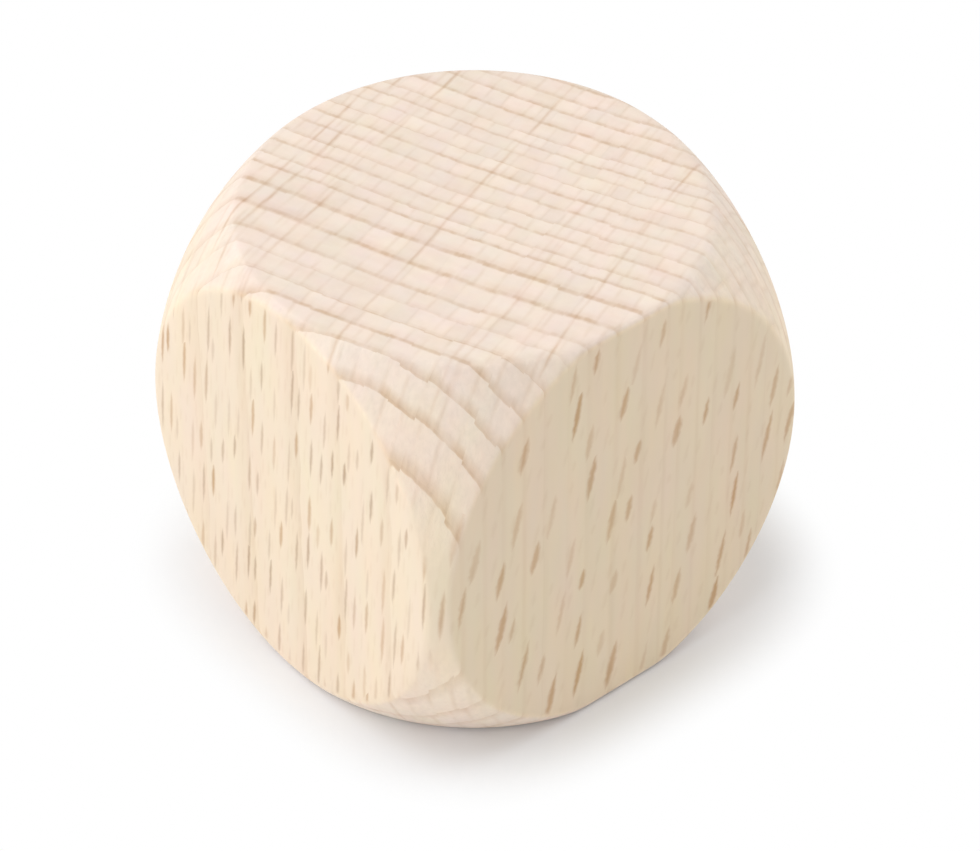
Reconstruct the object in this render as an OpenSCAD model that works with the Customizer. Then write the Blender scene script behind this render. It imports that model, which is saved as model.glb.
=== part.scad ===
// Blank wooden die: a cube cut from a square stick whose corners are turned
// down to a barrel about the grain, so that every face is a round flat.
// The grain runs along Z. The origin is the centre of the base, +Z up.

/* [Stick] */
// Side of the square stick, across its planed faces, along X and Y
side = 30; // [25:0.5:37]
// Length cut from the stick, along the grain
grain_length = 30; // [24:0.5:38]

/* [Turning] */
// Largest diameter of the turned barrel, at mid length
waist_d = 40.5; // [38:0.1:50]
// Diameter at which the turned barrel meets each end, before the rim is rounded
end_d = 29.2; // [24:0.1:36]
// How far off the middle of the stick the piece was turned, along X
turning_x = 0.1; // [-0.7:0.1:0.7]
// How far off the middle of the stick the piece was turned, along Y
turning_y = -0.5; // [-0.7:0.1:0.7]

/* [Rims] */
// Radius that rounds the turned rim of each end
end_rim_r = 0.6; // [0.2:0.1:2]
// How far in from its sharp rim each planed face is eased
side_rim_ease = 0.35; // [0.1:0.05:1]

/* [Hidden] */
$fn = 180;

// How far a cutting shape runs past the solid that it trims
run_out = 2;

half_side = side / 2;
half_length = grain_length / 2;
waist_r = waist_d / 2;
end_r = end_d / 2;

// The barrel's side is one arc through the waist and both ends.
bulge = waist_r - end_r;
barrel_arc_r = arc_radius(half_length, bulge);
barrel_arc_x = waist_r - barrel_arc_r;

// The circle that rounds the end rim touches the end and that arc.
rim_z = half_length - end_rim_r;
rim_x = barrel_arc_x + leg(barrel_arc_r - end_rim_r, rim_z);
rim_touch_z = rim_z * barrel_arc_r / (barrel_arc_r - end_rim_r);

// Radius of the arc with this half chord and this height
function arc_radius(half_chord, height) =
    (half_chord * half_chord + height * height) / (2 * height);

// Other short side of a right-angled triangle with this long side
function leg(long_side, short_side) =
    sqrt(long_side * long_side - short_side * short_side);

// Distance from the turning axis to the planed face that +X turns onto
function face_distance(turn) =
    half_side - turning_x * cos(turn) - turning_y * sin(turn);

// Half section of a barrel: an arc that bulges out to waist, cut off square
module barrel_section(waist, arc_r, half_height) {
    intersection() {
        translate([waist - arc_r, 0]) circle(r = arc_r);
        translate([0, -half_height]) square([waist + run_out, 2 * half_height]);
    }
}

// The turned barrel, with both end rims rounded
module turned_barrel() {
    rotate_extrude() {
        barrel_section(waist_r, barrel_arc_r, rim_touch_z);
        translate([0, -half_length]) square([rim_x, grain_length]);
        for (end = [-1, 1])
            intersection() {
                translate([rim_x, end * rim_z]) circle(r = end_rim_r);
                translate([0, -half_length]) square([waist_r, grain_length]);
            }
    }
}

// The square stick, planed on its four sides and parted off square
module planed_stick() {
    cube([side, side, grain_length], center = true);
}

// Eases the rim of the planed face at face_x on +X. The ease lies half way in
// angle between that face and the barrel all the way round the rim. It is a
// flatter barrel about an axis that is parallel to the grain and set back
// behind the turning axis.
module side_rim_easer(face_x) {
    rim_half_w = leg(waist_r, face_x);
    rim_half_h = leg(barrel_arc_r, face_x - barrel_arc_x);
    angle = atan(rim_half_w / face_x) / 2;
    reach = rim_half_w / tan(angle);
    ease_bulge = norm([reach, rim_half_w]) - reach;
    ease_waist_r = reach + ease_bulge - side_rim_ease * sin(angle);
    translate([face_x - reach, 0, 0])
        rotate_extrude()
            barrel_section(ease_waist_r, arc_radius(rim_half_h, ease_bulge), half_length + run_out);
}

module wooden_cube() {
    color("#ecd9c1")
        translate([0, 0, half_length])
            intersection() {
                planed_stick();
                translate([turning_x, turning_y, 0]) turned_barrel();
                intersection_for (turn = [0 : 90 : 270])
                    translate([turning_x, turning_y, 0])
                        rotate([0, 0, turn]) side_rim_easer(face_distance(turn));
            }
}

wooden_cube();
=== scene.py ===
"""The looks of a blank wooden die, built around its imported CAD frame.

The die is one block of beech: a square stick cut to a cube, whose corners are
turned off to a barrel, so that every face is a round flat. Everything is in
metres in the frame's own axes: +Z runs up along the grain.
"""

import logging
import math
from dataclasses import dataclass, field
from enum import Enum
from functools import partial

import bpy
from mathutils import Matrix, Vector

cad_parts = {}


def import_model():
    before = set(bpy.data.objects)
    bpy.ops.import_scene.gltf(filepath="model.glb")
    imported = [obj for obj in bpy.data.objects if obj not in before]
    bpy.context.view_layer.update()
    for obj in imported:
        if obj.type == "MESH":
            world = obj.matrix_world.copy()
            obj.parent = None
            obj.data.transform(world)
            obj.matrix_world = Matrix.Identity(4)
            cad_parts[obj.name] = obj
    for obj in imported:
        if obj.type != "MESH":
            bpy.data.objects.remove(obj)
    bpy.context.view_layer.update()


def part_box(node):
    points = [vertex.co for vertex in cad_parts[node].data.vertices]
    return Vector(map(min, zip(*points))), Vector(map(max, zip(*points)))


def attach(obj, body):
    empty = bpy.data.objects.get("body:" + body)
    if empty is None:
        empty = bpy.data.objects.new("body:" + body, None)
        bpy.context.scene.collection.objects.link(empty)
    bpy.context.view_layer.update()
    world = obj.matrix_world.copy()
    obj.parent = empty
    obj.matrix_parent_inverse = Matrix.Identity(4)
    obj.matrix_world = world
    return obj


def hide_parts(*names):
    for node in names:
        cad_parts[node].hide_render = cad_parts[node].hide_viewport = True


LOG = logging.getLogger("wooden_die")
MM = 0.001
WHITE = "ffffff"

Pair = tuple[float, float]
Triple = tuple[float, float, float]
Colour = tuple[float, float, float, float]
Tree = bpy.types.NodeTree
Node = bpy.types.Node
Socket = bpy.types.NodeSocket


class Smoothing(Enum):
    """How much sandpaper a rim has had, as passes of the smoothing modifier."""

    SANDED = 6
    WORN = 10


def linear(hex_colour: str) -> Colour:
    """Turns an sRGB hex colour into linear RGBA.

    Args:
        hex_colour: Six hex digits, such as "eedcc5".

    Returns:
        The linear red, green and blue, and 1.0 for alpha.
    """
    channels = [int(hex_colour[i : i + 2], 16) / 255 for i in (0, 2, 4)]
    red, green, blue = (
        c / 12.92 if c <= 0.04045 else ((c + 0.055) / 1.055) ** 2.4 for c in channels
    )
    return (red, green, blue, 1.0)


MATH = "ShaderNodeMath"
VECTOR = "ShaderNodeVectorMath"
SPLIT = "ShaderNodeSeparateXYZ"
JOIN = "ShaderNodeCombineXYZ"
NOISE = "ShaderNodeTexNoise"
RANGE = "ShaderNodeMapRange"
BLEND = "ShaderNodeMixRGB"
CELLS = "ShaderNodeTexVoronoi"
SMOOTH = {"interpolation_type": "SMOOTHSTEP"}


def add_node(
    tree: Tree,
    kind: str,
    *values: object,
    sockets: dict[str, object] | None = None,
    **settings: object,
) -> Node:
    """Adds a node with its settings, values and links.

    Args:
        tree: The node tree to add it to.
        kind: The node's type name.
        *values: What the first inputs get, in order: a plain value, a socket, a
            node, which means that node's first output, or None for no change.
        sockets: What other inputs get, by name.
        **settings: The node's own properties, by name.

    Returns:
        The new node.
    """
    node = tree.nodes.new(kind)
    for name, setting in settings.items():
        setattr(node, name, setting)
    for key, value in [*enumerate(values), *(sockets or {}).items()]:
        if isinstance(value, Node):
            value = value.outputs[0]
        if isinstance(value, Socket):
            tree.links.new(value, node.inputs[key])
        elif value is not None:
            node.inputs[key].default_value = value
    return node


def only(*objects: bpy.types.Object) -> None:
    """Selects these objects alone, with the first one active.

    Args:
        *objects: The objects that the next operator works on, if any.
    """
    bpy.ops.object.select_all(action="DESELECT")
    for obj in objects:
        obj.select_set(True)
    bpy.context.view_layer.objects.active = objects[0] if objects else None


@dataclass(frozen=True)
class Mottle:
    """A cloudy pattern that runs through the wood.

    Attributes:
        out: How often it changes outwards from the pith, per millimetre.
        around: How often it changes round the stem, per millimetre.
        along: How often it changes along the grain, per millimetre.
        detail: How many finer layers lie over it.
    """

    out: float
    around: float
    along: float
    detail: float = 1.0

    def lay(self, tree: Tree, place: Node | Socket) -> Node:
        """Lays the pattern in the wood.

        Args:
            tree: The node tree.
            place: The node or socket that says where the point lies.

        Returns:
            The pattern, which varies about 0.5.
        """
        stretch = (self.out, self.around, self.along)
        stretched = add_node(tree, VECTOR, place, stretch, operation="MULTIPLY")
        return add_node(tree, NOISE, stretched, sockets={"Scale": 1.0, "Detail": self.detail})


@dataclass(frozen=True)
class StemPlace:
    """Where a point lies in the stem, as sockets of one node tree.

    Attributes:
        cylinder: Outwards from the block's middle, round the stem and up it, in
            millimetres.
        year: The number of the point's ring, counted inwards.
        across: The way across the ring, from 0 at its inner line to 1.
        side: Round the stem, as the leaning grain has it, in millimetres.
        rise: Up the stem, as the wandering rays have it, in millimetres.
    """

    cylinder: Socket
    year: Socket
    across: Socket
    side: Socket
    rise: Socket


@dataclass(frozen=True)
class BeechStem:
    """The tree that the die's block was sawn from.

    Growth rings are cylinders about a far-off pith, and rays are thin ribbons
    that point at it. Both run through the whole block, so every face shows what
    its own cut would. Lengths are in millimetres.

    Attributes:
        pith_distance: From the block's middle to the pith.
        pith_direction: The way to the pith, in degrees from +X.
        bark_side: Where the outermost ring ends, from the middle, barkwards.
        ring_widths: Each year's growth, from the bark inwards.
        waviness: How far a ring line sways from its circle.
        fray: How far the vessels fray a ring line.
        jog: How far a ring line is offset from one side of a ray to the other.
        jog_spacing: Between the rays that ring lines are offset at.
        grain_lean: How far the grain leans from upright, in degrees.
        side_sway: How far the grain sways round the stem.
        rise_sway: How far a ray wanders up and down on its way out.
        slow: The pattern of the stem's slow sway, long along the grain.
        vessels: The pattern of the vessels that fray a ring line.
    """

    pith_distance: float = 250.0
    pith_direction: float = 20.0
    bark_side: float = 20.8
    ring_widths: tuple[float, ...] = (
        1.5, 1.6, 1.6, 1.4, 1.5, 1.5, 1.7, 1.3, 2.1, 2.1, 1.8, 1.0, 1.4,
        1.3, 1.4, 1.3, 1.3, 1.2, 1.1, 1.1, 1.4, 1.6, 1.3, 1.5, 1.4, 1.6,
    )  # fmt: skip
    waviness: float = 0.35
    fray: float = 0.14
    jog: float = 0.16
    jog_spacing: float = 1.6
    grain_lean: float = 4.5
    side_sway: float = 0.7
    rise_sway: float = 4.0
    slow: Mottle = Mottle(1 / 9, 1 / 7, 1 / 40, 2.0)
    vessels: Mottle = Mottle(1.2, 2.0, 0.4)

    def grow(self, tree: Tree, place: Socket) -> StemPlace:
        """Works out where a point lies in the stem.

        Args:
            tree: The shader tree.
            place: The point, in metres, in the frame's axes.

        Returns:
            The sockets that say where it lies.
        """
        add = partial(add_node, tree)
        heading = math.radians(self.pith_direction)
        pith = Vector((math.cos(heading), math.sin(heading), 0.0)) * self.pith_distance
        sized = add(VECTOR, place, sockets={"Scale": 1 / MM}, operation="SCALE")
        from_pith = add(SPLIT, add(VECTOR, sized, pith, operation="SUBTRACT"))
        east, north, along = from_pith.outputs
        radius = add(VECTOR, add(JOIN, east, north), operation="LENGTH").outputs["Value"]
        out = add(MATH, radius, self.pith_distance, operation="SUBTRACT")
        turned = add(MATH, north, east, operation="ARCTAN2")
        angle = add(MATH, turned, math.pi - heading, operation="ADD")
        around = add(MATH, angle, self.pith_distance, operation="MULTIPLY")
        cylinder = add(JOIN, out, around, along)

        # the slow sway of the stem, to either side
        slow = self.slow.lay(tree, cylinder).outputs["Color"]
        sway = add(SPLIT, add(VECTOR, slow, (0.5, 0.5, 0.5), operation="SUBTRACT"))
        lean = -math.tan(math.radians(self.grain_lean))
        leaning = add(MATH, along, lean, around, operation="MULTIPLY_ADD")
        side = add(MATH, sway.outputs["Y"], self.side_sway, leaning, operation="MULTIPLY_ADD")
        rise = add(MATH, sway.outputs["Z"], self.rise_sway, along, operation="MULTIPLY_ADD")

        # a ring line is frayed by the vessels and steps a little at each ray
        fray = self.vessels.lay(tree, cylinder)
        block = {"W": add(MATH, side, self.jog_spacing, operation="DIVIDE"), "Scale": 1.0}
        step = add(SPLIT, add(CELLS, sockets=block, voronoi_dimensions="1D").outputs["Color"])
        line_at = add(MATH, sway.outputs["X"], self.waviness, out, operation="MULTIPLY_ADD")
        line_at = add(MATH, fray, self.fray, line_at, operation="MULTIPLY_ADD")
        line_at = add(MATH, step, self.jog, line_at, operation="MULTIPLY_ADD")

        # the count of rings from the bark inwards, as a curve through each line
        years, depth = len(self.ring_widths), sum(self.ring_widths)
        bark = self.bark_side + (self.fray + self.jog) / 2
        inward = add(MATH, bark, line_at, operation="SUBTRACT")
        inward = add(MATH, inward, depth, operation="DIVIDE")
        count = add("ShaderNodeFloatCurve", sockets={"Value": inward})
        curve = count.mapping.curves[0]
        for year in range(1, years):
            curve.points.new(sum(self.ring_widths[:year]) / depth, year / years)
        for point in curve.points:
            point.handle_type = "VECTOR"
        count.mapping.update()
        ring = add(MATH, count, float(years), operation="MULTIPLY")
        year = add(MATH, ring, operation="FLOOR")
        across = add(MATH, 1.0, add(MATH, ring, operation="FRACT"), operation="SUBTRACT")
        return StemPlace(*(node.outputs[0] for node in (cylinder, year, across, side, rise)))


@dataclass(frozen=True)
class RaySet:
    """One size of ray: upright ribbons, lens-shaped where they are cut across.

    Attributes:
        spacing: Between rays round the stem, in millimetres.
        pitch: Between rays up the stem, in millimetres.
        half_height: Half a ray's height, in millimetres.
        half_width: Half its thickness, in millimetres.
        shift: Moves the set round the stem, so that no two sets match.
        scatter: How far the rays stray from even rows, from 0 to 1.
        heights: The shortest ray's share of the height, and what the tallest adds.
        widths: The slimmest ray's share of the width, and what the stoutest adds.
        taper: How late a ray narrows towards its tips.
    """

    spacing: float
    pitch: float
    half_height: float
    half_width: float
    shift: float = 0.0
    scatter: float = 0.75
    heights: Pair = (0.6, 0.8)
    widths: Pair = (0.75, 0.5)
    taper: float = 2.5

    def lay(
        self, tree: Tree, wood: StemPlace, ragged: Node, soft: Node, swell: Node
    ) -> tuple[Node, Node]:
        """Lays the rays in the wood.

        Args:
            tree: The shader tree.
            wood: Where the point lies in the stem.
            ragged: Noise that frays the edges, in millimetres.
            soft: How far an edge fades, in millimetres.
            swell: How many times its width a ray looks where it is cut.

        Returns:
            The mask, and the split of each ray's own random colour.
        """
        add = partial(add_node, tree)
        column = add(MATH, wood.side, 1 / self.spacing, self.shift, operation="MULTIPLY_ADD")
        cell = add(JOIN, column, add(MATH, wood.rise, self.pitch, operation="DIVIDE"))
        strewn = {"Scale": 1.0, "Randomness": self.scatter}
        spots = add(CELLS, cell, sockets=strewn, voronoi_dimensions="2D")
        luck = add(SPLIT, spots.outputs["Color"])
        off = add(SPLIT, add(VECTOR, cell, spots.outputs["Position"], operation="SUBTRACT"))
        shortest, taller = (share * self.half_height for share in self.heights)
        tall = add(MATH, luck, taller, shortest, operation="MULTIPLY_ADD")
        upward = add(MATH, off.outputs["Y"], self.pitch, operation="MULTIPLY")
        reach = add(MATH, add(MATH, upward, tall, operation="DIVIDE"), operation="ABSOLUTE")
        lens = add(MATH, 1.0, add(MATH, reach, self.taper, operation="POWER"), operation="SUBTRACT")
        slimmest, stouter = self.widths
        plump = add(MATH, luck.outputs["Z"], stouter, slimmest, operation="MULTIPLY_ADD")
        plump = add(MATH, plump, swell, operation="MULTIPLY")
        plump = add(MATH, plump, self.half_width, operation="MULTIPLY")
        wide = add(MATH, lens, plump, operation="MULTIPLY")
        beside = add(MATH, off.outputs["X"], self.spacing, ragged, operation="MULTIPLY_ADD")
        inside = add(MATH, wide, add(MATH, beside, operation="ABSOLUTE"), operation="SUBTRACT")
        outer = add(MATH, soft, -1.0, operation="MULTIPLY")
        return add(RANGE, inside, outer, soft, **SMOOTH), luck


@dataclass(frozen=True)
class Surface:
    """How the wood is cut at a point, as nodes and sockets of one tree.

    Attributes:
        skyward: How far the surface faces up, from -1 to 1.
        pithward: How far it faces the pith, from -1 to 1.
        barkward: 1 where it faces the bark or the pith squarely.
        slanted: 1 where it is cut across the grain at any slant.
        endness: 1 where it shows end grain.
        flat_end: 1 on the two flat ends.
        turned: 1 where the barrel was turned, between the sides and the ends.
        radial: 1 on a side that shows the rays' own faces.
    """

    skyward: Socket
    pithward: Socket
    barkward: Node
    slanted: Node
    endness: Node
    flat_end: Node
    turned: Node
    radial: Node


@dataclass(frozen=True)
class SurfaceReader:
    """Tells from the surface normal how the wood is cut.

    Each pair says where a kind of cut begins and where it is full, as how far the
    normal points along the grain, or for a bark side towards the bark or the pith.

    Attributes:
        slanted: For any slant across the grain.
        end_grain: For end grain.
        flat_end: For a flat end.
        barkward: For a side that faces the bark.
    """

    slanted: Pair = (0.03, 0.3)
    end_grain: Pair = (0.12, 0.75)
    flat_end: Pair = (0.8, 0.97)
    barkward: Pair = (0.45, 0.85)

    def read(self, tree: Tree, normal: Socket, pith_direction: float) -> Surface:
        """Reads the normal.

        Args:
            tree: The shader tree.
            normal: The surface normal, in the frame's axes.
            pith_direction: The way to the pith, in degrees from +X.

        Returns:
            How the wood is cut there.
        """
        add = partial(add_node, tree)
        skyward = add(SPLIT, normal).outputs["Z"]
        upright = add(MATH, skyward, operation="ABSOLUTE")
        slanted = add(RANGE, upright, *self.slanted, **SMOOTH)
        flat_end = add(RANGE, upright, *self.flat_end, **SMOOTH)
        heading = math.radians(pith_direction)
        pith = (math.cos(heading), math.sin(heading), 0.0)
        pithward = add(VECTOR, normal, pith, operation="DOT_PRODUCT").outputs["Value"]
        facing = add(MATH, pithward, operation="ABSOLUTE")
        barkward = add(RANGE, facing, *self.barkward, **SMOOTH)
        neither = add(MATH, barkward, slanted, operation="MAXIMUM")
        return Surface(
            skyward=skyward,
            pithward=pithward,
            barkward=barkward,
            slanted=slanted,
            endness=add(RANGE, upright, *self.end_grain, **SMOOTH),
            flat_end=flat_end,
            turned=add(MATH, slanted, flat_end, operation="SUBTRACT", use_clamp=True),
            radial=add(MATH, 1.0, neither, operation="SUBTRACT"),
        )


@dataclass(frozen=True)
class Bricks:
    """The small bricks that the rays cut each ring into, as nodes of one tree.

    Attributes:
        year: Each year's own strength, from 0 to 1.
        luck: Each brick's own tone, from 0 to 1.
        joint: 1 in the fine joints between bricks, where the wood is slanted.
    """

    year: Node
    luck: Node
    joint: Node


@dataclass(frozen=True)
class BrickPattern:
    """Small bricks of wood between the rays, each of its own tone.

    Attributes:
        length: A brick's length round the stem, in millimetres.
        offset: The most that a year's bricks are moved round, in millimetres.
        seed: Picks which years are strong.
        joint: How wide a joint fades, as a share of a brick.
        patches: The pattern of where joints show.
        patch_levels: The pattern's levels where joints begin and are full.
        least_joint: How much of a joint shows at the least.
    """

    length: float = 1.3
    offset: float = 9.0
    seed: float = 2089161.0
    joint: float = 0.17
    patches: Mottle = Mottle(0.7, 0.9, 0.3)
    patch_levels: Pair = (0.35, 0.6)
    least_joint: float = 0.1

    def lay(self, tree: Tree, wood: StemPlace, cut: Surface) -> Bricks:
        """Lays the bricks in the wood.

        Args:
            tree: The shader tree.
            wood: Where the point lies in the stem.
            cut: How the wood is cut there.

        Returns:
            The bricks.
        """
        add = partial(add_node, tree)
        drawn = {"W": add(MATH, wood.year, self.seed, operation="ADD")}
        year = add("ShaderNodeTexWhiteNoise", sockets=drawn, noise_dimensions="1D")
        course = add(MATH, year, self.offset, wood.side, operation="MULTIPLY_ADD")
        course = {"W": add(MATH, course, self.length, operation="DIVIDE"), "Scale": 1.0}
        bricks = add(CELLS, sockets=course, voronoi_dimensions="1D")
        gap = add(CELLS, sockets=course, voronoi_dimensions="1D", feature="DISTANCE_TO_EDGE")
        joint = add(RANGE, gap.outputs["Distance"], 0.0, self.joint, 1.0, 0.0, **SMOOTH)
        patchy = self.patches.lay(tree, wood.cylinder)
        patchy = add(RANGE, patchy, *self.patch_levels, self.least_joint, 1.0)
        patchy = add(MATH, cut.slanted, patchy, operation="MULTIPLY")
        return Bricks(
            year=year,
            luck=add(SPLIT, bricks.outputs["Color"]),
            joint=add(MATH, joint, patchy, operation="MULTIPLY"),
        )


@dataclass(frozen=True)
class RingLook:
    """How the growth rings show: latewood darkens up to a sharp line.

    Places across a ring run from 0 at its inner line to 1 at its outer line.

    Attributes:
        shade_starts: Where latewood begins, elsewhere and on a flat end.
        shade_ends: Where it is darkest.
        shades: How dark it gets elsewhere, on a radial side and on a flat end.
        line_starts: Where the dark line begins, crisp and blurred.
        line_ends: Where it is darkest.
        runs_over: How far it runs into the next year, crisp and blurred.
        beads: The pattern of dark beads along a line.
        bead_levels: The pattern's levels at the faintest and strongest bead.
        bead_strengths: How much of a line those beads show.
        brick_strengths: How much the palest and darkest bricks show.
        year_strengths: How much the weakest and strongest years show.
        side_strengths: How much a radial side and a bark side show.
        under_strengths: How much the underside and the top show.
        under_slope: How far down wood faces where the least shows.
        end_loss: What a flat end adds to that.
        graze_loss: What is lost on turned wood that faces along the rings.
        grazes: How far wood faces the pith where all and none of it is lost.
    """

    shade_starts: Pair = (0.62, 0.5)
    shade_ends: float = 0.97
    shades: Triple = (0.85, 0.3, 0.45)
    line_starts: Pair = (0.88, 0.74)
    line_ends: float = 0.95
    runs_over: Pair = (0.03, 0.11)
    beads: Mottle = Mottle(0.4, 1.2, 0.1, 2.0)
    bead_levels: Pair = (0.32, 0.66)
    bead_strengths: Pair = (0.45, 1.15)
    brick_strengths: Pair = (0.75, 1.1)
    year_strengths: Pair = (0.3, 1.15)
    side_strengths: Pair = (0.16, 0.3)
    under_strengths: Pair = (0.5, 0.92)
    under_slope: float = -0.3
    end_loss: float = -0.10
    graze_loss: float = 0.45
    grazes: Pair = (0.3, 0.75)

    def mark(self, tree: Tree, wood: StemPlace, cut: Surface, bricks: Bricks) -> Node:
        """Marks the rings in the wood.

        Args:
            tree: The shader tree.
            wood: Where the point lies in the stem.
            cut: How the wood is cut there.
            bricks: The bricks, each with its own strength.

        Returns:
            How much of a ring line there is at the point.
        """
        add = partial(add_node, tree)
        slanted_shade, radial_shade, end_shade = self.shades
        blurred = add(MATH, cut.flat_end, cut.radial, operation="MAXIMUM")
        starts = add(RANGE, cut.flat_end, 0.0, 1.0, *self.shade_starts)
        shade = add(RANGE, wood.across, starts, self.shade_ends, **SMOOTH)
        strength = add(RANGE, cut.radial, 0.0, 1.0, slanted_shade, radial_shade)
        strength = add(RANGE, cut.flat_end, 0.0, 1.0, strength, end_shade)
        shade = add(MATH, shade, strength, operation="MULTIPLY")
        starts = add(RANGE, blurred, 0.0, 1.0, *self.line_starts)
        line = add(RANGE, wood.across, starts, self.line_ends, **SMOOTH)
        ends = add(RANGE, blurred, 0.0, 1.0, *self.runs_over)
        after = add(RANGE, wood.across, 0.0, ends, 1.0, 0.0, **SMOOTH)
        mark = add(MATH, add(MATH, line, shade, operation="MAXIMUM"), after, operation="MAXIMUM")
        beads = self.beads.lay(tree, wood.cylinder)
        for strength in (
            add(RANGE, beads, *self.bead_levels, *self.bead_strengths),
            add(RANGE, bricks.luck, 0.0, 1.0, *self.brick_strengths),
            add(RANGE, bricks.year, 0.0, 1.0, *self.year_strengths),
        ):
            mark = add(MATH, mark, strength, operation="MULTIPLY")
        return mark

    def show(self, tree: Tree, cut: Surface, mark: Node) -> Node:
        """Shows the marked rings more or less, by how the wood is cut.

        Args:
            tree: The shader tree.
            cut: How the wood is cut at the point.
            mark: How much of a ring line there is.

        Returns:
            How much the line darkens the wood.
        """
        add = partial(add_node, tree)
        on_sides = add(RANGE, cut.barkward, 0.0, 1.0, *self.side_strengths)
        across = add(RANGE, cut.skyward, self.under_slope, 0.0, *self.under_strengths)
        across = add(MATH, cut.flat_end, self.end_loss, across, operation="MULTIPLY_ADD")
        shown = add(RANGE, cut.slanted, 0.0, 1.0, on_sides, across)
        facing = add(MATH, cut.pithward, operation="ABSOLUTE")
        lost = add(RANGE, facing, *self.grazes, self.graze_loss, 0.0, **SMOOTH)
        lost = add(MATH, cut.turned, lost, operation="MULTIPLY")
        shown = add(MATH, shown, add(MATH, 1.0, lost, operation="SUBTRACT"), operation="MULTIPLY")
        return add(MATH, mark, shown, operation="MULTIPLY")


@dataclass(frozen=True)
class Rays:
    """The rays at a point, as nodes of one tree.

    Attributes:
        share: How much a broad ray tints the wood.
        tint: What it multiplies the wood's colour by.
        fine: How much of a fine ray there is.
    """

    share: Node
    tint: Node
    fine: Node


@dataclass(frozen=True)
class RayLook:
    """How the rays show: dark ends barkwards, broad flecks on a radial side.

    Attributes:
        broad: The broad rays.
        fine: The fine rays.
        end_tint: The dark ray ends' tint.
        side_tint: The tint of a ray that is cut lengthwise.
        frayed: The pattern of a ray's frayed edge.
        fray: How wide the edge is frayed, in millimetres.
        soft: How far an edge fades on a radial side, a bark side and slanted
            wood, in millimetres.
        end_swell: How much wider a ray looks where its end is cut.
        weakest: The weakest ray's strength, on the sides and on slanted wood.
        strongest: The strongest ray's.
        fade: The pattern of where rays fade on slanted wood.
        fade_levels: The pattern's levels where they are faded and where not.
        faded: How much of a faded ray shows.
        dark_levels: Where, in its own random number, a ray's end turns pale.
        pale_end: How much of the dark tint a pale end keeps.
    """

    broad: RaySet = RaySet(1.05, 4.4, 1.35, 0.076)
    fine: RaySet = RaySet(0.6, 2.3, 0.6, 0.045, 3.7)
    end_tint: Colour = (0.63, 0.54, 0.475, 1.0)
    side_tint: Colour = (0.72, 0.56, 0.41, 1.0)
    frayed: Mottle = Mottle(2.5, 3.0, 2.2)
    fray: float = 0.10
    soft: Triple = (0.07, 0.11, 0.18)
    end_swell: float = 0.35
    weakest: Pair = (0.3, -1.5)
    strongest: Pair = (1.08, 0.75)
    fade: Mottle = Mottle(0.3, 1.5, 0.2)
    fade_levels: Pair = (0.4, 0.62)
    faded: float = 0.1
    dark_levels: Pair = (0.6, 0.8)
    pale_end: float = 0.2

    def lay(self, tree: Tree, wood: StemPlace, cut: Surface) -> Rays:
        """Lays the rays in the wood.

        Args:
            tree: The shader tree.
            wood: Where the point lies in the stem.
            cut: How the wood is cut there.

        Returns:
            The rays.
        """
        add = partial(add_node, tree)
        radial_soft, bark_soft, slanted_soft = self.soft
        ragged = self.frayed.lay(tree, wood.cylinder)
        ragged = add(MATH, ragged, self.fray, -self.fray / 2, operation="MULTIPLY_ADD")
        soft = add(RANGE, cut.barkward, 0.0, 1.0, radial_soft, bark_soft)
        soft = add(RANGE, cut.slanted, 0.0, 1.0, soft, slanted_soft)
        ends = add(MATH, cut.barkward, cut.slanted, operation="SUBTRACT", use_clamp=True)
        swell = add(MATH, ends, self.end_swell, 1.0, operation="MULTIPLY_ADD")
        broad, luck = self.broad.lay(tree, wood, ragged, soft, swell)
        fine, _ = self.fine.lay(tree, wood, ragged, soft, swell)

        weakest = add(RANGE, cut.slanted, 0.0, 1.0, *self.weakest)
        strongest = add(RANGE, cut.slanted, 0.0, 1.0, *self.strongest)
        strength = add(RANGE, luck.outputs["Y"], 0.0, 1.0, weakest, strongest)
        strength = add(MATH, strength, 0.0, operation="MAXIMUM")
        fade = self.fade.lay(tree, wood.cylinder)
        fade = add(RANGE, fade, *self.fade_levels, self.faded, 1.0)
        fade = add(RANGE, cut.slanted, 0.0, 1.0, 1.0, fade)
        strength = add(MATH, strength, fade, operation="MULTIPLY")
        dark = add(RANGE, luck.outputs["Z"], *self.dark_levels, 1.0, self.pale_end)
        dark = add(MATH, ends, dark, operation="MULTIPLY")
        return Rays(
            share=add(MATH, broad, strength, operation="MULTIPLY"),
            tint=add(BLEND, dark, self.side_tint, self.end_tint),
            fine=fine,
        )


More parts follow.
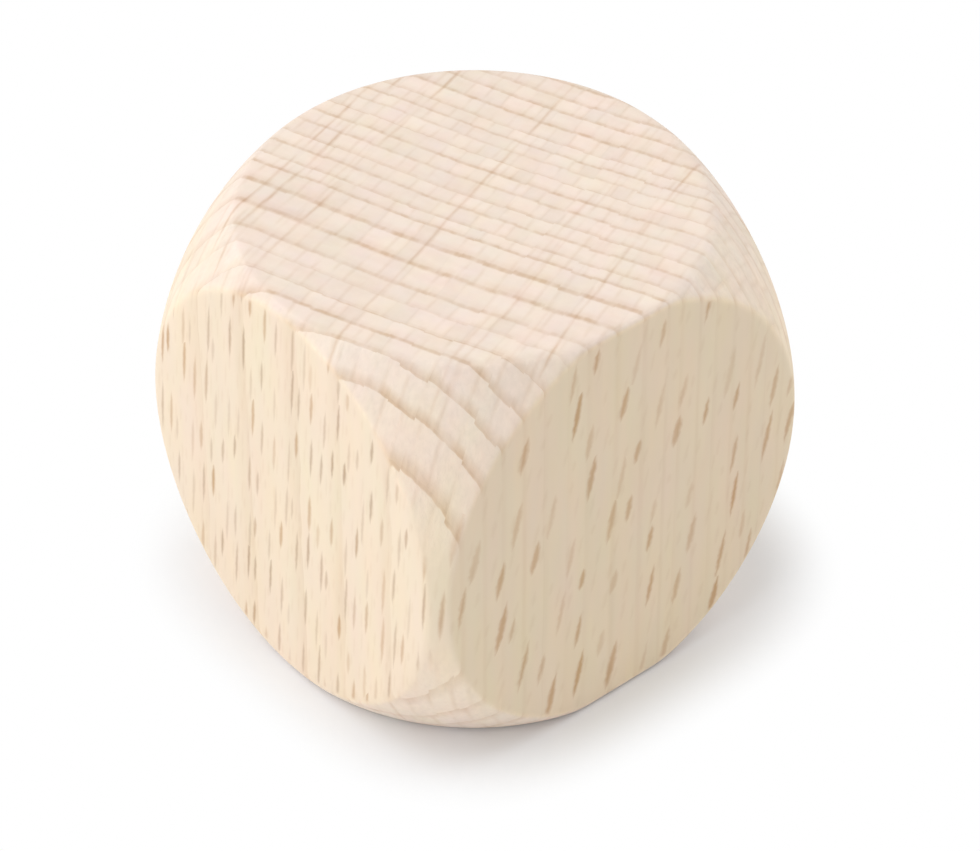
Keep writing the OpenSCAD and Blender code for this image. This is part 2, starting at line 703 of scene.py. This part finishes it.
@dataclass(frozen=True)
class SandedBeech:
    """Bare European beech, planed on its faces and turned on its corners.

    The side that faces the bark has thin dark ray ends, the side that is nearly
    radial has broad slanted flecks, and the end grain has ring lines crossed by
    fine rays. It is matt and pale, and pinker on the end grain. A tint multiplies
    the wood's colour where it lies at full.

    Attributes:
        stem: The tree that the wood comes from.
        reader: Tells how the wood is cut.
        bricks: The bricks of wood between the rays.
        rings: How the rings show.
        rays: How the rays show.
        bark_side: The colour of a side that faces the bark, as sRGB hex.
        ray_face: The colour of a radial side.
        end_grain: The colour of the end grain.
        latewood: The tint of ring lines, joints and fine rays.
        blush: The tint of pinker patches on the end grain.
        fibre: The pattern of fibres on the sides.
        pores: The pattern of pores on the end grain.
        grain_tones: How much fibres and pores change the tone.
        torn: The pattern of fibres torn by turning, per metre.
        torn_tone: How much they change the tone.
        turned_painted_light: Painted light: how much paler turned wood is painted barkwards, where
            it faces the key light, and pithwards.
        pith_side: How far wood faces the pith where it counts as pithwards.
        brick_tones: How much bricks differ, on the sides and on slanted wood.
        cloud: The pattern of slow changes of colour.
        cloud_spread: How much red, green and blue change with it.
        cloud_least: What is left of them at its darkest.
        blush_pattern: The pattern of the pinker patches.
        blush_levels: The pattern's levels where a patch begins and is full.
        most_blush: How much of the tint a full patch has.
        fine_ray: How much a fine ray tints a side.
        joint: How much a joint between bricks tints the end grain.
        ridges: How much a ring line stands out, elsewhere and on a flat end.
        torn_height: How much torn fibres stand out.
        groove: How far rays and joints lie below the rest.
        bump: How strongly the fine relief shades.
        relief: The height that 1 stands for in it, in millimetres.
        roughness: Of sanded bare wood.
        ior: The refractive index of wood, about 1.5.
    """

    stem: BeechStem = field(default_factory=BeechStem)
    reader: SurfaceReader = SurfaceReader()
    bricks: BrickPattern = BrickPattern()
    rings: RingLook = RingLook()
    rays: RayLook = RayLook()
    bark_side: str = "f7e4cb"
    ray_face: str = "f6e2c5"
    end_grain: str = "f1e1d3"
    latewood: Colour = (0.77, 0.67, 0.56, 1.0)
    blush: Colour = (0.93, 0.87, 0.83, 1.0)
    fibre: Mottle = Mottle(2.2, 2.2, 0.2, 2.0)
    pores: Mottle = Mottle(1.6, 2.4, 2.4, 2.5)
    grain_tones: Pair = (0.024, 0.055)
    torn: Mottle = Mottle(3.2 / MM, 3.2 / MM, 1.4 / MM, 3.0)
    torn_tone: float = 0.16
    turned_painted_light: Pair = (0.05, 0.0)
    pith_side: float = 0.6
    brick_tones: Pair = (0.016, 0.06)
    cloud: Mottle = Mottle(0.5, 0.5, 0.13, 2.0)
    cloud_spread: Triple = (0.09, 0.09, 0.13)
    cloud_least: Triple = (0.955, 0.955, 0.935)
    blush_pattern: Mottle = Mottle(0.9, 0.35, 0.1, 2.0)
    blush_levels: Pair = (0.45, 0.7)
    most_blush: float = 0.35
    fine_ray: float = 0.18
    joint: float = 0.25
    ridges: Pair = (0.4, 1.0)
    torn_height: float = 3.5
    groove: float = -0.5
    bump: float = 0.6
    relief: float = 0.02
    roughness: float = 0.62
    ior: float = 1.5

    def material(self) -> bpy.types.Material:
        """Makes the material.

        Returns:
            The finished material, on Object coordinates.
        """
        material = bpy.data.materials.new("sanded_beech")
        material.use_nodes = True
        tree = material.node_tree
        tree.nodes.clear()
        add = partial(add_node, tree)
        coords = add("ShaderNodeTexCoord")
        wood = self.stem.grow(tree, coords.outputs["Object"])
        cut = self.reader.read(tree, coords.outputs["Normal"], self.stem.pith_direction)
        bricks = self.bricks.lay(tree, wood, cut)
        mark = self.rings.mark(tree, wood, cut, bricks)
        rays = self.rays.lay(tree, wood, cut)

        # fibres along the grain, pores on the end, and fibres torn by the turning
        fibre = self.fibre.lay(tree, wood.cylinder)
        grain = add(RANGE, cut.endness, 0.0, 1.0, fibre, self.pores.lay(tree, wood.cylinder))
        torn = self.torn.lay(tree, coords.outputs["Object"])
        torn = add(MATH, torn, 0.5, operation="SUBTRACT")
        torn = add(MATH, torn, cut.turned, operation="MULTIPLY")

        colour = self.plain_wood(tree, wood, cut, self.tone(tree, cut, bricks, grain, torn))
        ring_share = self.rings.show(tree, cut, mark)
        colour = add(BLEND, ring_share, colour, self.latewood, blend_type="MULTIPLY")
        colour = add(BLEND, rays.share, colour, rays.tint, blend_type="MULTIPLY")
        fine_share = add(RANGE, cut.slanted, 0.0, 1.0, self.fine_ray, 0.0)
        fine_share = add(MATH, rays.fine, fine_share, operation="MULTIPLY")
        fine_share = add(MATH, bricks.joint, self.joint, fine_share, operation="MULTIPLY_ADD")
        colour = add(BLEND, fine_share, colour, self.latewood, blend_type="MULTIPLY")

        # the fine relief that scatters the light
        ridge = add(RANGE, cut.flat_end, 0.0, 1.0, *self.ridges)
        height = add(MATH, mark, ridge, grain, operation="MULTIPLY_ADD")
        height = add(MATH, torn, self.torn_height, height, operation="MULTIPLY_ADD")
        groove = add(MATH, rays.share, bricks.joint, operation="MAXIMUM")
        height = add(MATH, groove, self.groove, height, operation="MULTIPLY_ADD")
        relief = {"Strength": self.bump, "Distance": self.relief * MM, "Height": height}
        look = {
            "Base Color": colour,
            "Roughness": self.roughness,
            "IOR": self.ior,
            "Normal": add("ShaderNodeBump", sockets=relief),
        }
        add("ShaderNodeOutputMaterial", add("ShaderNodeBsdfPrincipled", sockets=look))
        return material

    def tone(self, tree: Tree, cut: Surface, bricks: Bricks, grain: Node, torn: Node) -> Node:
        """Works out how pale or dark the wood is, with painted light on turned wood that faces the
        key light.

        Args:
            tree: The shader tree.
            cut: How the wood is cut at the point.
            bricks: The bricks of wood between the rays.
            grain: The fibres and pores.
            torn: The torn fibres.

        Returns:
            The tone, about 1.
        """
        add = partial(add_node, tree)
        spread = add(RANGE, cut.endness, 0.0, 1.0, *self.grain_tones)
        darkest = add(MATH, spread, 0.5, operation="MULTIPLY")
        darkest = add(MATH, 1.0, darkest, operation="SUBTRACT")
        tone = add(MATH, grain, spread, darkest, operation="MULTIPLY_ADD")
        tone = add(MATH, torn, self.torn_tone, tone, operation="MULTIPLY_ADD")
        # painted light: turned wood that faces away from the pith, towards the key light, is
        # painted paler
        painted_light = add(RANGE, cut.pithward, 0.0, self.pith_side, *self.turned_painted_light)
        tone = add(MATH, cut.turned, painted_light, tone, operation="MULTIPLY_ADD")
        spread = add(RANGE, cut.slanted, 0.0, 1.0, *self.brick_tones)
        return add(MATH, bricks.luck, spread, tone, operation="MULTIPLY_ADD")

    def plain_wood(self, tree: Tree, wood: StemPlace, cut: Surface, tone: Node) -> Node:
        """Colours the wood between its rings and rays.

        Args:
            tree: The shader tree.
            wood: Where the point lies in the stem.
            cut: How the wood is cut there.
            tone: How pale or dark it is.

        Returns:
            The colour.
        """
        add = partial(add_node, tree)
        side_grain = add(BLEND, cut.barkward, linear(self.ray_face), linear(self.bark_side))
        colour = add(BLEND, cut.endness, side_grain, linear(self.end_grain))
        colour = add(VECTOR, colour, sockets={"Scale": tone}, operation="SCALE")
        cloud = self.cloud.lay(tree, wood.cylinder).outputs["Color"]
        cloud = add(VECTOR, cloud, self.cloud_spread, self.cloud_least, operation="MULTIPLY_ADD")
        colour = add(VECTOR, colour, cloud, operation="MULTIPLY")
        blush = self.blush_pattern.lay(tree, wood.cylinder)
        blush = add(RANGE, blush, *self.blush_levels, 0.0, self.most_blush)
        blush = add(MATH, blush, cut.endness, operation="MULTIPLY")
        return add(BLEND, blush, colour, self.blush, blend_type="MULTIPLY")


@dataclass(frozen=True)
class PaperSweep:
    """Matt white paper that is seen as plain white away from the die.

    Close to the die the paper shows the light that falls on it, and so the soft
    shadow. The change follows a rounded square about the die's foot.

    Attributes:
        colour: The paper's own colour.
        centre: The rounded square's centre, in metres.
        squareness: 2 for a round, more for squarer.
        clear_from: Half the square's width where the change begins, in metres.
        clear_to: Half the square's width where the paper is plain white.
    """

    colour: str = "f1f3f6"
    centre: Triple = (1.5 * MM, 0.0, 0.0)
    squareness: float = 3.0
    clear_from: float = 15.4 * MM
    clear_to: float = 21.0 * MM

    def material(self) -> bpy.types.Material:
        """Makes the material.

        Returns:
            The finished material, on Object coordinates.
        """
        material = bpy.data.materials.new("white_paper")
        material.use_nodes = True
        tree = material.node_tree
        tree.nodes.clear()
        add = partial(add_node, tree)
        place = add("ShaderNodeTexCoord").outputs["Object"]
        away = add(VECTOR, place, self.centre, operation="SUBTRACT")
        away = add(SPLIT, add(VECTOR, away, operation="ABSOLUTE"))
        across, along = (
            add(MATH, away.outputs[side], self.squareness, operation="POWER") for side in "XY"
        )
        width = add(MATH, across, along, operation="ADD")
        width = add(MATH, width, 1.0 / self.squareness, operation="POWER")
        clear = add(RANGE, width, self.clear_from, self.clear_to, **SMOOTH)
        seen = add("ShaderNodeLightPath").outputs["Is Camera Ray"]
        clear = add(MATH, clear, seen, operation="MULTIPLY")
        paper = add("ShaderNodeBsdfDiffuse", linear(self.colour))
        white = add("ShaderNodeEmission", linear(WHITE), 1.0)
        add("ShaderNodeOutputMaterial", add("ShaderNodeMixShader", clear, paper, white))
        return material


@dataclass
class WoodenDie:
    """The die's one block, shaped as its maker shapes it. Lengths in metres.

    Attributes:
        node: The CAD node that it shows.
        waist_radius: Of the barrel, at mid height.
        end_radius: Of the barrel at both ends, left a little proud for sanding.
        turning_centre: Where the barrel's axis stands, from the stick's middle.
        run_out: How far it runs past each end.
        arc_steps: Sides of the circle that the barrel's arc is taken from.
        turn_steps: Steps of the spin.
        weld: Points that are closer than this become one.
        grain_size: Of the fine, even skin.
        worn_height: How far up the foot's rim is worn.
        planed_off: Planed off each side, so the die stays inside the frame.
        sanding: How far one pass moves a point towards its neighbours.
        finish: The wood.
    """

    node: str = "wooden_cube"
    waist_radius: float = 20.25 * MM
    end_radius: float = 14.65 * MM
    turning_centre: Pair = (0.1 * MM, -0.5 * MM)
    run_out: float = 2.0 * MM
    arc_steps: int = 720
    turn_steps: int = 180
    weld: float = 0.001 * MM
    grain_size: float = 0.24 * MM
    worn_height: float = 2.2 * MM
    planed_off: float = 0.002 * MM
    sanding: float = 0.5
    finish: SandedBeech = field(default_factory=SandedBeech)

    def build(self) -> bpy.types.Object:
        """Shapes and dresses the die, and puts it on the frame.

        Returns:
            The finished piece.
        """
        low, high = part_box(self.node)
        stick = self.saw_stick(low, high)
        self.turn(stick, self.make_barrel(low, high))
        self.sand(stick)
        stick.name = stick.data.name = "beech_die"
        stick.data.materials.clear()
        stick.data.materials.append(self.finish.material())
        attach(stick, "root")
        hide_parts(self.node)
        return stick

    def saw_stick(self, low: Vector, high: Vector) -> bpy.types.Object:
        """Planes the square stick and cuts it to length.

        Args:
            low: The frame's lowest corner.
            high: The frame's highest corner.

        Returns:
            The cube.
        """
        only()
        size = high - low - Vector.Fill(3, 2 * self.planed_off)
        bpy.ops.mesh.primitive_cube_add(size=1.0, location=(low + high) / 2, scale=size)
        bpy.ops.object.transform_apply(location=True, rotation=True, scale=True)
        return bpy.context.active_object

    def make_barrel(self, low: Vector, high: Vector) -> bpy.types.Object:
        """Spins the barrel's arc about the turning axis.

        Args:
            low: The frame's lowest corner.
            high: The frame's highest corner.

        Returns:
            The barrel, a closed solid that runs past both ends.
        """
        half = (high.z - low.z) / 2
        bulge = self.waist_radius - self.end_radius
        arc_radius = (half * half + bulge * bulge) / (2 * bulge)
        x, y = self.turning_centre
        middle = (low.z + high.z) / 2
        only()
        bpy.ops.mesh.primitive_circle_add(
            vertices=self.arc_steps,
            radius=arc_radius,
            location=(x + self.waist_radius - arc_radius, y, middle),
            rotation=(math.pi / 2, 0.0, 0.0),
        )
        bpy.ops.object.transform_apply(location=True, rotation=True, scale=True)
        barrel = bpy.context.active_object
        bpy.ops.object.mode_set(mode="EDIT")

        # the outer arc alone is left, and is spun about the turning axis
        for point, normal in (
            ((x, y, middle), (-1.0, 0.0, 0.0)),
            ((x, y, high.z + self.run_out), (0.0, 0.0, 1.0)),
            ((x, y, low.z - self.run_out), (0.0, 0.0, -1.0)),
        ):
            bpy.ops.mesh.select_all(action="SELECT")
            bpy.ops.mesh.bisect(plane_co=point, plane_no=normal, clear_outer=True)
        bpy.ops.mesh.select_all(action="SELECT")
        bpy.ops.mesh.spin(
            steps=self.turn_steps, angle=math.tau, center=(x, y, middle), axis=(0.0, 0.0, 1.0)
        )
        bpy.ops.mesh.select_all(action="SELECT")
        bpy.ops.mesh.remove_doubles(threshold=self.weld)

        # both open ends are closed
        bpy.ops.mesh.select_all(action="DESELECT")
        bpy.ops.mesh.select_non_manifold()
        bpy.ops.mesh.edge_face_add()
        bpy.ops.mesh.select_all(action="SELECT")
        bpy.ops.mesh.normals_make_consistent(inside=False)
        bpy.ops.object.mode_set(mode="OBJECT")
        return barrel

    def turn(self, stick: bpy.types.Object, barrel: bpy.types.Object) -> None:
        """Turns the corners off the stick, which leaves what lies inside the barrel.

        Args:
            stick: The cube, which is changed.
            barrel: The barrel, which is used up.
        """
        only(stick)
        turning = stick.modifiers.new("turning", "BOOLEAN")
        turning.operation = "INTERSECT"
        turning.solver = "EXACT"
        turning.object = barrel
        bpy.ops.object.modifier_apply(modifier=turning.name)
        bpy.data.objects.remove(barrel)

    def sand(self, block: bpy.types.Object) -> None:
        """Gives the block an even, fine skin and rounds its rims.

        Args:
            block: The sharp-edged block, which is changed.
        """
        only(block)
        skin = block.modifiers.new("skin", "REMESH")
        skin.mode = "VOXEL"
        skin.voxel_size = self.grain_size
        bpy.ops.object.modifier_apply(modifier=skin.name)
        foot = block.vertex_groups.new(name="foot")
        for vertex in block.data.vertices:
            wear = min(max(1.0 - vertex.co.z / self.worn_height, 0.0), 1.0)
            foot.add([vertex.index], wear, "REPLACE")
        for smoothing, where in ((Smoothing.SANDED, ""), (Smoothing.WORN, foot.name)):
            paper = block.modifiers.new("sandpaper", "SMOOTH")
            paper.factor = self.sanding
            paper.iterations = smoothing.value
            paper.vertex_group = where
            bpy.ops.object.modifier_apply(modifier=paper.name)
        block.vertex_groups.clear()
        bpy.ops.object.shade_smooth()


@dataclass(frozen=True)
class Softbox:
    """A round soft light that hangs a way off and points at the die.

    Attributes:
        name: Its name.
        azimuth: Where it hangs, in degrees from +X.
        elevation: How high it hangs, in degrees.
        level: How bright a white card at the die looks in its light alone.
        colour: The light's colour.
        size: Its width, in metres.
        distance: From the die, in metres.
    """

    name: str
    azimuth: float
    elevation: float
    level: float
    colour: str = WHITE
    size: float = 1.0
    distance: float = 0.6

    def hang(self, aim: Vector) -> None:
        """Hangs the light.

        Args:
            aim: Where it points.
        """
        lamp = bpy.data.lights.new(self.name, "AREA")
        lamp.shape = "DISK"
        lamp.size = self.size
        lamp.color = linear(self.colour)[:3]
        # a white card that faces the lamp is as bright as power / (pi * distance) ** 2
        lamp.energy = self.level * (math.pi * self.distance) ** 2
        softbox = bpy.data.objects.new(self.name, lamp)
        bpy.context.scene.collection.objects.link(softbox)
        around, up = math.radians(self.azimuth), math.radians(self.elevation)
        flat = math.cos(up)
        toward = Vector((math.cos(around) * flat, math.sin(around) * flat, math.sin(up)))
        softbox.location = aim + toward * self.distance
        softbox.rotation_euler = toward.to_track_quat("Z", "Y").to_euler()


@dataclass
class Studio:
    """White paper, even light, two softboxes and the camera.

    Attributes:
        azimuth: How far round from the front the camera stands, in degrees.
        elevation: How high it stands, in degrees.
        roll: How far it is turned about its own line of sight, in degrees.
        distance: From the camera to its aim, in metres.
        lens: Its focal length, in millimetres.
        sensor: Its sensor's width, in millimetres.
        shift: How far the picture is shifted, as a share of its width.
        aim: What the camera and the lights point at.
        clip_start: The nearest that the camera sees, in metres.
        ambient: The even light's level.
        ambient_colour: The even light's colour, as sRGB hex.
        softboxes: The key light from the left and the fill light from the right.
        paper: What the die stands on.
        paper_size: The paper's width, in metres.
        paper_drop: How far the paper lies below the die, in metres.
    """

    azimuth: float = -40.15
    elevation: float = 39.99
    roll: float = -0.26
    distance: float = 0.270
    lens: float = 156.35
    sensor: float = 36.0
    shift: Pair = (0.0226, -0.0325)
    aim: Triple = (0.0, 0.0, 15.0 * MM)
    clip_start: float = 10.0 * MM
    ambient: float = 0.495
    ambient_colour: str = "fffdfa"
    softboxes: tuple[Softbox, ...] = (
        Softbox("key", 150.0, 42.0, 0.885, "fefeff"),
        Softbox("fill", -10.0, 40.0, 0.33, size=0.5),
    )
    paper: PaperSweep = field(default_factory=PaperSweep)
    paper_size: float = 6.0
    paper_drop: float = 0.01 * MM

    def build(self) -> None:
        """Sets the floor, the lights and the camera."""
        self.lay_floor()
        for softbox in self.softboxes:
            softbox.hang(Vector(self.aim))
        self.light_all_round()
        self.place_camera()

    def lay_floor(self) -> None:
        """Lays the paper under the die."""
        only()
        bpy.ops.mesh.primitive_plane_add(
            size=self.paper_size, location=(0.0, 0.0, -self.paper_drop)
        )
        floor = bpy.context.active_object
        floor.name = "paper_sweep"
        bpy.ops.object.transform_apply(location=True, rotation=True, scale=True)
        floor.data.materials.append(self.paper.material())

    def light_all_round(self) -> None:
        """Sets the even light, which the camera sees as plain white."""
        world = bpy.data.worlds.new("studio")
        bpy.context.scene.world = world
        world.use_nodes = True
        tree = world.node_tree
        tree.nodes.clear()
        add = partial(add_node, tree)
        seen = add("ShaderNodeLightPath").outputs["Is Camera Ray"]
        strength = add(RANGE, seen, 0.0, 1.0, self.ambient, 1.0)
        tint = add(BLEND, seen, linear(self.ambient_colour), linear(WHITE))
        add("ShaderNodeOutputWorld", add("ShaderNodeBackground", tint, strength))

    def place_camera(self) -> None:
        """Stands the camera round the die, looking down at its near corner."""
        around, up = math.radians(self.azimuth), math.radians(self.elevation)
        flat = math.cos(up)
        back = Vector((math.sin(around) * flat, -math.cos(around) * flat, math.sin(up)))
        turn = back.to_track_quat("Z", "Y").to_matrix().to_4x4()
        data = bpy.data.cameras.new("camera")
        data.lens = self.lens
        data.sensor_width = self.sensor
        data.shift_x, data.shift_y = self.shift
        data.clip_start = self.clip_start
        camera = bpy.data.objects.new("camera", data)
        bpy.context.scene.collection.objects.link(camera)
        place = Matrix.Translation(Vector(self.aim) + back * self.distance)
        camera.matrix_world = place @ turn @ Matrix.Rotation(math.radians(self.roll), 4, "Z")
        bpy.context.scene.camera = camera


def main() -> None:
    """Loads the frame, builds the die and the studio, and logs the die's face count."""
    logging.basicConfig(level=logging.INFO, format="%(name)s: %(message)s")
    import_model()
    bpy.context.scene.view_settings.view_transform = "Standard"
    die = WoodenDie().build()
    LOG.info("%s: %d faces", die.name, len(die.data.polygons))
    Studio().build()
    LOG.info("studio ready")


if __name__ == "__main__":
    main()
